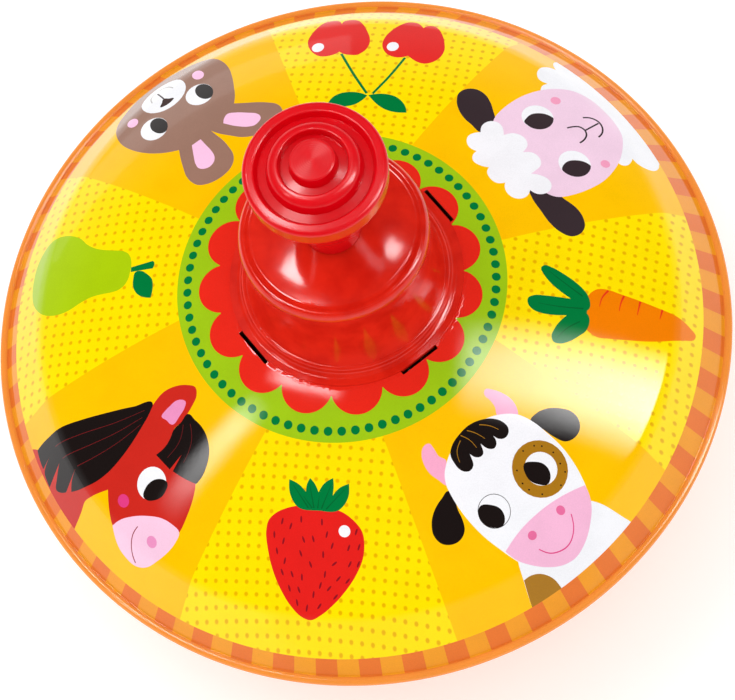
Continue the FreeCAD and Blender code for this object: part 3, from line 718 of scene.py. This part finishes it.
def ink_materials():
    makers = {"yellow": dotted_ink}
    return [makers.get(name, ink)("ink_" + name, code).material for name, code in INKS.items()]


# ---- printed shell ----
GRID = 2.3  # spacing of plain points between the printed edges
TAB_DEGS = (40.5, 130.5, 220.5, 310.5)
SLOT_HALF = 5.4  # the slots that the turret's tabs go through
SLOT_INNER_R = 28.4
SLOT_OUTER_R = 29.9
RIM_SIDES = 480
BEND_SIDES = 300
GROOVE = (VALLEY_R + 0.14, VALLEY_Z - 0.09, math.radians(88))  # turn into the bead
BEAD_STEPS = 22
INNER_STEPS = 10
UNDER_RINGS = 18
LAND_EDGE_CLEAR = 1.0  # no plain points this close to the edge of the flat land
CREASE_CLEAR = 2.4  # nor this close to the middle of the crease
CREASE_MIDDLE_R = DOME_END_R + 1.2
ROW_PITCH = 0.866  # rows of a staggered grid, per spacing


def openings():
    """Outlines of the hole and of the tab slots in the flat land."""
    near, far = (SLOT_INNER_R, SLOT_HALF), (SLOT_OUTER_R, SLOT_HALF)
    return [circle((0, 0), CROWN_HOLE_R, 64)] + [wedge((0, 0), deg, near, far) for deg in TAB_DEGS]


def triangles_of(outlines, extra=()):
    """Triangles between closed outlines: points, triangles, and the outlines round each."""
    points = []
    loops = []
    for line in outlines:
        loops.append(list(range(len(points), len(points) + len(line))))
        points += line
    found = delaunay_2d_cdt(points + list(extra), [], loops, 1, 1e-5, True)
    return found[0], found[2], found[5]


def plain_points():
    """Staggered grid inside the rim, with full rings where the section bends."""
    points = []
    rows = int(VALLEY_R / (GRID * ROW_PITCH))
    columns = int(VALLEY_R / GRID) + 1
    for row in range(-rows, rows + 1):
        y = row * GRID * ROW_PITCH
        shift = GRID / 2 if row % 2 else 0.0
        for column in range(-columns, columns + 1):
            at = Vector((column * GRID + shift, y))
            r = at.length
            from_land = abs(r - CROWN_FLAT_R + LAND_BLEND / 2) - LAND_EDGE_CLEAR
            from_crease = abs(r - CREASE_MIDDLE_R) - CREASE_CLEAR
            if CROWN_HOLE_R + 1 < r < VALLEY_R - 1 and min(from_land, from_crease) > 0:
                points.append(at)
    for r in (CROWN_FLAT_R - LAND_BLEND, CROWN_FLAT_R, DOME_END_R, (DOME_END_R + CONE_START_R) / 2,
              CONE_START_R):
        points += circle((0, 0), r, BEND_SIDES)
    return points


def triangulate(shapes):
    """Plan triangles of the shell between its hole and the bead, with the top shape of each."""
    outlines = [circle((0, 0), VALLEY_R, RIM_SIDES)] + openings()
    cuts = set(range(1, len(outlines)))
    first_shape = len(outlines)
    outlines += [line for _, line, _ in shapes]
    points, faces, owners = triangles_of(outlines, plain_points())
    plan = []
    kept = {}
    triangles = []
    for corners, inside in zip(faces, owners):
        inside = set(inside)
        if 0 not in inside or inside & cuts:
            continue
        top = None
        for index in range(len(shapes) - 1, -1, -1):
            trim = shapes[index][2]
            if first_shape + index in inside and (trim is None or first_shape + trim in inside):
                top = shapes[index][0]
                break
        for corner in corners:
            if corner not in kept:
                kept[corner] = len(plan)
                plan.append(points[corner])
        triangles.append(([kept[corner] for corner in corners], top))
    return plan, triangles


def under_profile():
    """Section from the cone's foot over the bead, along the hem and back under the sheet."""
    section = [GROOVE]
    for step in range(BEAD_STEPS + 1):
        angle = BEAD_START - (BEAD_START + math.pi / 2) * step / BEAD_STEPS
        section.append((BEAD_CENTRE_R + BEAD_R * math.cos(angle), BEAD_R * math.sin(angle), angle))
    inner_r = BEAD_R - SHEET
    section += [(HEM_R, -BEAD_R, -math.pi / 2), (HEM_R, -inner_r, math.pi),
                (BEAD_CENTRE_R, -inner_r, math.pi / 2)]
    for step in range(1, INNER_STEPS + 1):
        angle = -math.pi / 2 + (BEAD_START + math.pi / 2) * step / INNER_STEPS
        section.append((BEAD_CENTRE_R + inner_r * math.cos(angle), inner_r * math.sin(angle),
                        angle + math.pi))
    section.append((VALLEY_R - SHEET * math.sin(CONE), VALLEY_Z - SHEET * math.cos(CONE),
                    -math.pi / 2 - CONE))
    radii = [CONE_START_R, (CONE_START_R + DOME_END_R) / 2, DOME_END_R]
    radii += [DOME_END_R + (CROWN_FLAT_R - DOME_END_R) * u / UNDER_RINGS
              for u in range(1, UNDER_RINGS + 1)]
    for r in radii:
        tilt = shell_tilt(r)
        section.append((r - SHEET * math.sin(tilt), shell_height(r) - SHEET * math.cos(tilt),
                        -math.pi / 2 - tilt))
    return section


def make_printed_shell():
    """The whole upper shell: printed top, rolled rim, hem and plain underside."""
    shapes = printed_shapes()
    plan, triangles = triangulate(shapes)
    ink_index = {name: index for index, name in enumerate(INKS)}
    bare = len(INKS)
    verts = []
    normals = []
    for at in plan:
        r = at.length
        tilt = shell_tilt(r)
        out = at.normalized() if r else Vector((1, 0))
        verts.append((at.x, at.y, shell_height(r)))
        normals.append((out.x * math.sin(tilt), out.y * math.sin(tilt), math.cos(tilt)))
    faces = [tuple(corners) for corners, _ in triangles]
    slots = [ink_index[top or "amber"] for _, top in triangles]

    edge_ink = {}
    for corners, slot in zip(faces, slots):
        for a, b in zip(corners, corners[1:] + corners[:1]):
            edge_ink[a, b] = slot
    rim = [i for i, at in enumerate(plan) if at.length > VALLEY_R - 0.02]
    rim.sort(key=lambda i: math.atan2(plan[i].y, plan[i].x))
    ring = rim
    for station, (r, z, angle) in enumerate(under_profile()):
        fresh = []
        for i in rim:
            out = plan[i].normalized()
            fresh.append(len(verts))
            verts.append((out.x * r, out.y * r, z))
            normals.append((out.x * math.cos(angle), out.y * math.cos(angle), math.sin(angle)))
        for a in range(len(rim)):
            b = (a + 1) % len(rim)
            faces.append((ring[a], fresh[a], fresh[b], ring[b]))
            if station < 2:
                slots.append(edge_ink[rim[a], rim[b]])
            else:
                slots.append(ink_index["bead_orange"] if station < BEAD_STEPS + 2 else bare)
        ring = fresh

    add_land(verts, normals, faces, slots, ring, bare)
    mesh = bpy.data.meshes.new("printed_shell")
    mesh.from_pydata([(x * MM, y * MM, (z + RIM_Z) * MM) for x, y, z in verts], [], faces)
    for material in ink_materials() + [bare_tin()]:
        mesh.materials.append(material)
    mesh.polygons.foreach_set("material_index", slots)
    mesh.polygons.foreach_set("use_smooth", [True] * len(faces))
    mesh.normals_split_custom_set_from_vertices(normals)
    shell = add_object("printed_shell", mesh)
    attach(shell, "root")
    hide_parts("upper_shell")


def add_land(verts, normals, faces, slots, ring, bare):
    """Underside of the flat land, with the walls of the hole and of the four tab slots."""
    low = CROWN_H - SHEET
    outlines = [[Vector(verts[i][:2]) for i in ring]] + openings()
    points, triangles, owners = triangles_of(outlines)
    first = len(verts)
    for at in points:
        verts.append((at.x, at.y, low))
        normals.append((0, 0, -1))
    for corners, inside in zip(triangles, owners):
        if list(inside) == [0]:
            faces.append(tuple(first + i for i in reversed(corners)))
            slots.append(bare)
    for line in outlines[1:]:
        middle = sum(line, Vector((0, 0))) / len(line)
        start = len(verts)
        for at in line:
            inward = (middle - at).normalized()
            for z in (low, CROWN_H):
                verts.append((at.x, at.y, z))
                normals.append((inward.x, inward.y, 0))
        for a in range(len(line)):
            b = (a + 1) % len(line)
            faces.append((start + 2 * b, start + 2 * a, start + 2 * a + 1, start + 2 * b + 1))
            slots.append(bare)


# ---- other finishes ----
KNOB_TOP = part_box("knob")[1].z / MM
BELOW_ALL = -50.0  # a height that takes in the whole piece
TURNED_R = 4.7  # turned rings on the knob's boss reach this far


def bare_tin():
    """Plain tinplate inside the shell: grey, with fine rolling lines and a dull bloom."""
    finish = Finish("bare_tin", Metallic=1.0, Roughness=0.35)
    lines = finish.noise(0.4, squeeze=(1, 0.04, 1))
    bloom = finish.noise(18.0)
    tone = finish.mix(bloom, linear("#A9ABAE"), linear("#C9CACC"))
    finish.wire(tone, "Base Color")
    finish.wire(finish.span(lines, 0.3, 0.7, 0.28, 0.46), "Roughness")
    finish.wire(finish.bump(lines, 0.004), "Normal")
    return finish.material


def enamel_red():
    """Deep red enamel on the drawn turret: glossy, with faint drawing lines round it."""
    finish = Finish("enamel_red", Roughness=0.4, Specular_IOR_Level=0.0, Coat_Weight=1.0,
                    Coat_Roughness=0.1, Coat_IOR=1.4)
    cloud = finish.noise(7.0)
    colour = finish.mix(finish.span(cloud, 0.35, 0.65), linear("#CC1C0E"),
                        linear("#DE2615"))
    finish.wire(colour, "Base Color")
    drawn = finish.bump(finish.noise(0.6, squeeze=(0.05, 0.05, 1)), 0.01)
    peel = finish.bump(finish.noise(1.5, detail=2.0), 0.005, drawn)
    finish.wire(finish.span(cloud, 0.3, 0.7, 0.26, 0.36), "Roughness")
    finish.wire(peel, "Normal")
    finish.wire(finish.bump(finish.noise(2.4, detail=1.0), 0.006), "Coat Normal")
    return finish.material


def moulded_red(name, code, boss_top):
    """Crimson moulded plastic: satin gloss, slight flow marks and fine turned rings on its end."""
    finish = Finish(name, Roughness=0.25, Specular_IOR_Level=0.2, Coat_Weight=0.2,
                    Coat_Roughness=0.12, Coat_IOR=1.5)
    colour = linear(code)
    deep = shaded(colour, 0.92)
    cloud = finish.noise(6.0)
    finish.wire(finish.mix(finish.span(cloud, 0.35, 0.65), deep, colour), "Base Color")
    finish.wire(finish.span(finish.noise(0.8), 0.3, 0.7, 0.21, 0.27), "Roughness")
    skin = finish.bump(finish.noise(1.6, detail=3.0), 0.003)
    radius = finish.radius()
    wave = finish.maths("SINE", finish.maths("MULTIPLY", radius, math.tau / 0.55))
    height = finish.add("SeparateXYZ", {0: finish.place}).outputs["Z"]
    on_end = finish.maths("MULTIPLY", finish.maths("LESS_THAN", radius, TURNED_R),
                        finish.maths("GREATER_THAN", height, (boss_top - 0.4) * MM))
    rings = finish.bump(finish.maths("MULTIPLY", wave, on_end), 0.012, skin)
    finish.wire(rings, "Normal")
    return finish.material


def steel(name, low_code, high_code, roughness, squeeze=(1, 1, 0.06)):
    """Drawn or plated steel with fine lines and slight tarnish."""
    finish = Finish(name, Metallic=1.0, Roughness=roughness)
    lines = finish.noise(0.25, detail=4.0, squeeze=squeeze)
    stain = finish.noise(5.0)
    finish.wire(finish.mix(finish.span(stain, 0.35, 0.7), linear(high_code),
                           linear(low_code)), "Base Color")
    finish.wire(finish.span(lines, 0.3, 0.7, roughness * 0.75, roughness * 1.3), "Roughness")
    finish.wire(finish.bump(lines, 0.004), "Normal")
    return finish.material


def plain_polymer(name, code, roughness, grain, relief):
    """Nylon or rubber: moulded skin with fine grain and a little dust."""
    finish = Finish(name, Roughness=roughness)
    colour = linear(code)
    dusty = shaded(colour, 1.15, 0.01)
    finish.wire(finish.mix(finish.noise(3.0), colour, dusty), "Base Color")
    skin = finish.noise(grain)
    finish.wire(finish.span(skin, 0.3, 0.7, roughness * 0.85, min(1.0, roughness * 1.15)),
                "Roughness")
    finish.wire(finish.bump(skin, relief), "Normal")
    return finish.material


def dress_nodes():
    """Each carried-over CAD node whose material slot is listed here gets that slot's finish."""
    lacquer = ink("lacquer_orange", "#F0862A", mottle=0.04, orange_peel=0.006)
    finishes = {
        "lower_tin": lacquer.material,
        "turret_red": enamel_red(),
        "knob_red": moulded_red("moulded_crimson", "#DC0010", KNOB_TOP),
        "foot_red": moulded_red("moulded_foot_red", "#C20818", BELOW_ALL),
    }
    for name, *look in (("bright_steel", "#8F9094", "#B9BBBF", 0.24),
                        ("zinc_steel", "#9A9D9C", "#C2C6C4", 0.36, (1, 1, 1)),
                        ("rivet_aluminium", "#B2B3B5", "#D2D3D5", 0.3, (1, 1, 1))):
        finishes[name] = steel(name, *look)
    for name, *look in (("black_rubber", "#1B1B1D", 0.75, 0.5, 0.02),
                        ("white_nylon", "#E6E3D8", 0.42, 0.7, 0.01),
                        ("grey_nylon", "#75787C", 0.5, 0.6, 0.015)):
        finishes[name] = plain_polymer(name, *look)
    slot_of = {part["node"]: part["material_slot"] for part in frame["record"]["subparts"]}
    for node, piece in frame["nodes"].items():
        if slot_of[node] in finishes:
            for holder in piece.material_slots:
                holder.material = finishes[slot_of[node]]


# ---- floor, light and camera ----
LIGHT_TARGET = Vector((0, 0, 0.09))
ROOM_LIGHT = 0.88
GLOSS_HORIZON = 0.55  # strength of the room in reflections, level with the top
GLOSS_OVERHEAD = 0.02
GLOSS_DARK_FROM = 0.42  # sine of the height above which it is at its darkest
CAMERA_AT = (0.11007, -0.34365, 0.91451)
CAMERA_RIGHT = (0.99312, 0.04304, -0.10893)
CAMERA_BACK = (0.11712, -0.36492, 0.92364)
CAMERA_LENS = 176.33


def add_floor():
    """Plain paper with a faint glow of its own, a little overexposed."""
    half = 3.0
    mesh = bpy.data.meshes.new("floor")
    mesh.from_pydata([(-half, -half, 0), (half, -half, 0), (half, half, 0), (-half, half, 0)], [],
                     [(0, 1, 2, 3)])
    finish = Finish("floor_paper", Roughness=0.9, Emission_Color=(1, 1, 1, 1),
                    Emission_Strength=0.24)
    shade = finish.noise(60.0)
    finish.wire(finish.mix(shade, (0.90, 0.90, 0.90, 1), (0.93, 0.93, 0.93, 1)), "Base Color")
    mesh.materials.append(finish.material)
    add_object("floor", mesh)


def add_light(name, azimuth, elevation, distance, width, height, watts, roll=0.0):
    """Rectangular softbox aimed at the top from this direction; sizes are in metres."""
    data = bpy.data.lights.new(name, "AREA")
    data.shape = "RECTANGLE"
    data.size = width
    data.size_y = height
    data.energy = watts
    el = math.radians(elevation)
    toward = Vector((*polar((0, 0), math.cos(el), azimuth), math.sin(el)))
    light = add_object(name, data)
    turn = toward.to_track_quat("Z", "Y") @ Quaternion((0, 0, 1), math.radians(roll))
    light.location = LIGHT_TARGET + toward * distance
    light.rotation_euler = turn.to_euler()
    return light


def soften(light, edge, end, low=1.0, high=1.0):
    """Fades a softbox towards its sides and ends, and ramps it from one end to the other."""
    nodes = Nodes(light.data, "Emission")
    uv = nodes.add("NewGeometry", {}).outputs["Parametric"]
    across, along, _ = nodes.add("SeparateXYZ", {0: uv}).outputs
    level = nodes.span(across, 0, edge, smooth=True)
    for place, start, stop in ((across, 1, 1 - edge), (along, 0, end), (along, 1, 1 - end)):
        level = nodes.maths("MULTIPLY", level, nodes.span(place, start, stop, smooth=True))
    level = nodes.maths("MULTIPLY", level, nodes.span(along, 0, 1, low, high))
    nodes.wire(level, "Strength")


def add_world():
    """White room: it lights evenly, and gloss sees it darker overhead than at the horizon."""
    world = bpy.data.worlds.new("studio")
    nodes = Nodes(world, "Background")
    place = nodes.add("TexCoord", {}).outputs["Generated"]
    height = nodes.add("SeparateXYZ", {0: place}).outputs["Z"]
    seen = nodes.span(height, 0.0, GLOSS_DARK_FROM, GLOSS_HORIZON, GLOSS_OVERHEAD, smooth=True)
    is_gloss = nodes.add("LightPath", {}).outputs["Is Glossy Ray"]
    level = nodes.add("Mix", {"Factor": is_gloss, "A": ROOM_LIGHT, "B": seen}).outputs["Result"]
    nodes.wire(level, "Strength")
    nodes.shader.inputs["Color"].default_value = (1, 1, 1, 1)
    world.cycles.sampling_method = "NONE"
    bpy.context.scene.world = world


def add_lights():
    """Soft lamps that give the light, and others that are only seen as reflections."""
    add_world()
    key = add_light("key_left", 165, 64, 1.4, 1.0, 1.0, 5.1)
    fill = add_light("fill_front", -60, 60, 1.4, 1.0, 1.0, 2.8)
    for lamp in (key, fill):
        lamp.visible_glossy = False
    back_left = add_light("lamp_back_left", 140, 71, 1.3, 0.26, 0.17, 4.0)
    back_right = add_light("lamp_back_right", 60, 71, 1.3, 0.14, 0.11, 1.0)
    right = add_light("softbox_right", 2, 48, 0.9, 0.41, 0.88, 18.5, roll=-4)
    left = add_light("strip_left", -156, 50, 0.9, 0.13, 0.56, 2.3, roll=17)
    sweep = add_light("strip_flange", -172, 75, 0.9, 0.09, 0.30, 1.6, roll=-25)
    back = add_light("softbox_back", 125, 6, 1.2, 1.2, 0.16, 0.4)
    for lamp in (back_left, back_right, right, left, sweep, back):
        lamp.visible_diffuse = False
    soften(right, 0.45, 0.12, 1.9, 0.5)
    soften(left, 0.45, 0.3, 0.35, 1.6)
    soften(sweep, 0.4, 0.3)


def add_camera():
    """Camera at the viewing angle of the photograph."""
    data = bpy.data.cameras.new("camera")
    data.sensor_width = 36.0
    data.lens = CAMERA_LENS
    camera = add_object("camera", data)
    right = Vector(CAMERA_RIGHT).normalized()
    back = Vector(CAMERA_BACK).normalized()
    up = back.cross(right).normalized()
    turn = Matrix((right, up, back)).transposed().to_4x4()
    camera.matrix_world = Matrix.Translation(CAMERA_AT) @ turn
    bpy.context.scene.camera = camera


bpy.context.scene.view_settings.view_transform = "Standard"
make_printed_shell()
dress_nodes()
add_floor()
add_lights()
add_camera()
